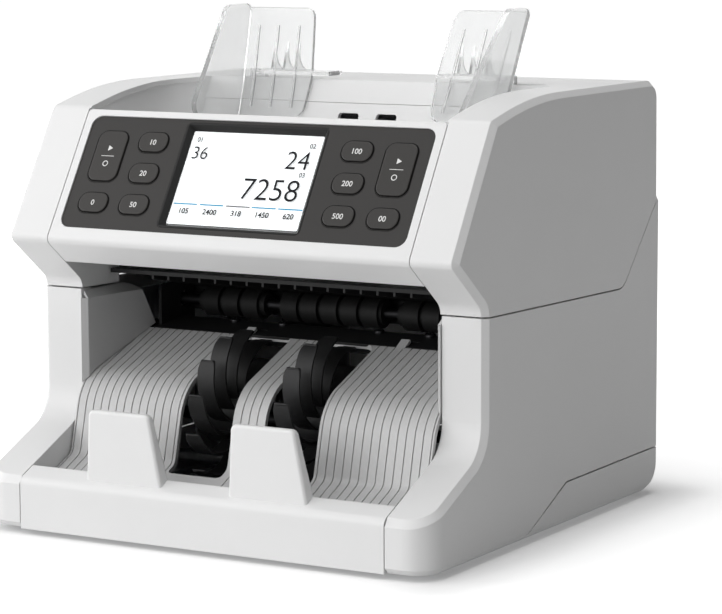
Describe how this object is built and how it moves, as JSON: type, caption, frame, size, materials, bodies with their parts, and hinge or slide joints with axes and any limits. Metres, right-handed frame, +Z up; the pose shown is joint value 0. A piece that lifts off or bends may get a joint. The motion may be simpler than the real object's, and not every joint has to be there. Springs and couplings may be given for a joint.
{
  "type": "banknote counter",
  "caption": "Desktop banknote counter with a top hopper, clear guides, sloping keypad panel and open stacker pocket; its upper unit hinges open at the rear.",
  "frame": {"origin": "on the table, under the middle of the overall box", "axes": "+X to the right seen from the front, +Y to the rear, +Z up"},
  "size_m": [0.2448, 0.2384, 0.2453],
  "materials": {
    "casing": "fine moulded",
    "tray": "satin",
    "black": "satin",
    "fascia": "satin",
    "keys": "satin",
    "screen": "lit",
    "glass": "clear",
    "clear": "clear",
    "steel": "brushed",
    "rubber": "matt",
    "board": "lacquered",
    "zinc": "plated"
  },
  "bodies": {
    "base": {"base_plate": "zinc", "rubber_feet": "rubber", "lower_casing": "casing", "base_rear_cover": "casing", "tray_front": "casing", "tray_plate": "tray", "tray_wall_left": "tray", "tray_wall_right": "tray", "exit_deck": "black", "screws": "steel", "side_frame_left": "zinc", "side_frame_right": "zinc", "cross_bars": "steel", "shaft_bushes": "steel", "drive_motor": "steel", "drive_belt": "rubber", "power_supply": "zinc", "main_board": "board", "inlet_module": "black", "lower_sensor_bar": "black"},
    "stacker": {"stacker_shaft": "steel", "stacker_wheel_left": "black", "stacker_wheel_right": "black", "stacker_pulley": "black"},
    "exit": {"exit_shaft": "steel", "exit_rollers": "rubber", "exit_pulley": "black"},
    "motor_rotor": {"motor_pulley": "black"},
    "rocker": {"power_switch": "black"},
    "upper": {"upper_casing": "casing", "front_cover": "casing", "keypad_fascia": "fascia", "display_frame": "black", "display_glass": "glass", "display_module": "screen", "control_board": "board", "feed_plate": "casing", "upper_guide": "black", "roller_bearers": "zinc", "hinge_pins": "steel"},
    "feed": {"feed_shaft": "steel", "feed_rollers": "rubber"},
    "pickup": {"pickup_shaft": "steel", "pickup_rollers": "rubber"},
    "right_guide": {"guide_right": "clear", "guide_rack_right": "tray"},
    "left_guide": {"guide_left": "clear", "guide_rack_left": "tray"},
    "pinion": {"guide_pinion": "black"},
    "key_left_top_body": {"key_left_top": "keys"},
    "key_left_middle_body": {"key_left_middle": "keys"},
    "key_left_bottom_body": {"key_left_bottom": "keys"},
    "key_left_outer_body": {"key_left_outer": "keys"},
    "key_left_tall_body": {"key_left_tall": "keys"},
    "key_right_top_body": {"key_right_top": "keys"},
    "key_right_middle_body": {"key_right_middle": "keys"},
    "key_right_bottom_body": {"key_right_bottom": "keys"},
    "key_right_outer_body": {"key_right_outer": "keys"},
    "key_right_tall_body": {"key_right_tall": "keys"}
  },
  "joints": [
    {"name": "upper_hinge", "type": "hinge", "parent": "base", "child": "upper", "pos_m": [0, 0.1167, 0.1514], "axis": [-1, 0, 0], "range_deg": [0, 40]},
    {"name": "stacker_spin", "type": "hinge", "parent": "base", "child": "stacker", "pos_m": [0, -0.0438, 0.051], "axis": [1, 0, 0], "continuous": true},
    {"name": "exit_spin", "type": "hinge", "parent": "base", "child": "exit", "pos_m": [0, 0.0068, 0.0986], "axis": [1, 0, 0], "continuous": true},
    {"name": "motor_spin", "type": "hinge", "parent": "base", "child": "motor_rotor", "pos_m": [0.1, 0.0608, 0.045], "axis": [1, 0, 0], "continuous": true},
    {"name": "switch_rock", "type": "hinge", "parent": "base", "child": "rocker", "pos_m": [-0.072, 0.1122, 0.069], "axis": [-1, 0, 0], "range_deg": [0, 18]},
    {"name": "feed_spin", "type": "hinge", "parent": "upper", "child": "feed", "pos_m": [0, 0.03045, 0.13407], "axis": [1, 0, 0], "continuous": true},
    {"name": "pickup_spin", "type": "hinge", "parent": "upper", "child": "pickup", "pos_m": [0, 0.04265, 0.16639], "axis": [1, 0, 0], "continuous": true},
    {"name": "guide_right_slide", "type": "slide", "parent": "upper", "child": "right_guide", "axis": [1, 0, 0], "range_m": [-0.018, 0.016]},
    {"name": "guide_left_slide", "type": "slide", "parent": "upper", "child": "left_guide", "axis": [-1, 0, 0], "range_m": [-0.018, 0.016]},
    {"name": "pinion_spin", "type": "hinge", "parent": "upper", "child": "pinion", "pos_m": [0, 0.063, 0.2032], "axis": [0, 0, -1], "range_deg": [-130, 116]},
    {"name": "key_left_top_press", "type": "slide", "parent": "upper", "child": "key_left_top_body", "axis": [0, 0.8513, -0.5247], "range_m": [0, 0.0008], "stiffness_N_per_m": 400, "springref_m": -0.0005},
    {"name": "key_left_middle_press", "type": "slide", "parent": "upper", "child": "key_left_middle_body", "axis": [0, 0.8513, -0.5247], "range_m": [0, 0.0008], "stiffness_N_per_m": 400, "springref_m": -0.0005},
    {"name": "key_left_bottom_press", "type": "slide", "parent": "upper", "child": "key_left_bottom_body", "axis": [0, 0.8513, -0.5247], "range_m": [0, 0.0008], "stiffness_N_per_m": 400, "springref_m": -0.0005},
    {"name": "key_left_outer_press", "type": "slide", "parent": "upper", "child": "key_left_outer_body", "axis": [0, 0.8513, -0.5247], "range_m": [0, 0.0008], "stiffness_N_per_m": 400, "springref_m": -0.0005},
    {"name": "key_left_tall_press", "type": "slide", "parent": "upper", "child": "key_left_tall_body", "axis": [0, 0.8513, -0.5247], "range_m": [0, 0.0008], "stiffness_N_per_m": 400, "springref_m": -0.0005},
    {"name": "key_right_top_press", "type": "slide", "parent": "upper", "child": "key_right_top_body", "axis": [0, 0.8513, -0.5247], "range_m": [0, 0.0008], "stiffness_N_per_m": 400, "springref_m": -0.0005},
    {"name": "key_right_middle_press", "type": "slide", "parent": "upper", "child": "key_right_middle_body", "axis": [0, 0.8513, -0.5247], "range_m": [0, 0.0008], "stiffness_N_per_m": 400, "springref_m": -0.0005},
    {"name": "key_right_bottom_press", "type": "slide", "parent": "upper", "child": "key_right_bottom_body", "axis": [0, 0.8513, -0.5247], "range_m": [0, 0.0008], "stiffness_N_per_m": 400, "springref_m": -0.0005},
    {"name": "key_right_outer_press", "type": "slide", "parent": "upper", "child": "key_right_outer_body", "axis": [0, 0.8513, -0.5247], "range_m": [0, 0.0008], "stiffness_N_per_m": 400, "springref_m": -0.0005},
    {"name": "key_right_tall_press", "type": "slide", "parent": "upper", "child": "key_right_tall_body", "axis": [0, 0.8513, -0.5247], "range_m": [0, 0.0008], "stiffness_N_per_m": 400, "springref_m": -0.0005}
  ],
  "couplings": [
    {"joint": "exit_spin", "follows": "stacker_spin", "ratio": 1.3333},
    {"joint": "motor_spin", "follows": "stacker_spin", "ratio": 2},
    {"joint": "pickup_spin", "follows": "feed_spin", "ratio": 1},
    {"joint": "guide_left_slide", "follows": "guide_right_slide", "ratio": 1},
    {"joint": "pinion_spin", "follows": "guide_right_slide", "rad_per_m": 125}
  ]
}
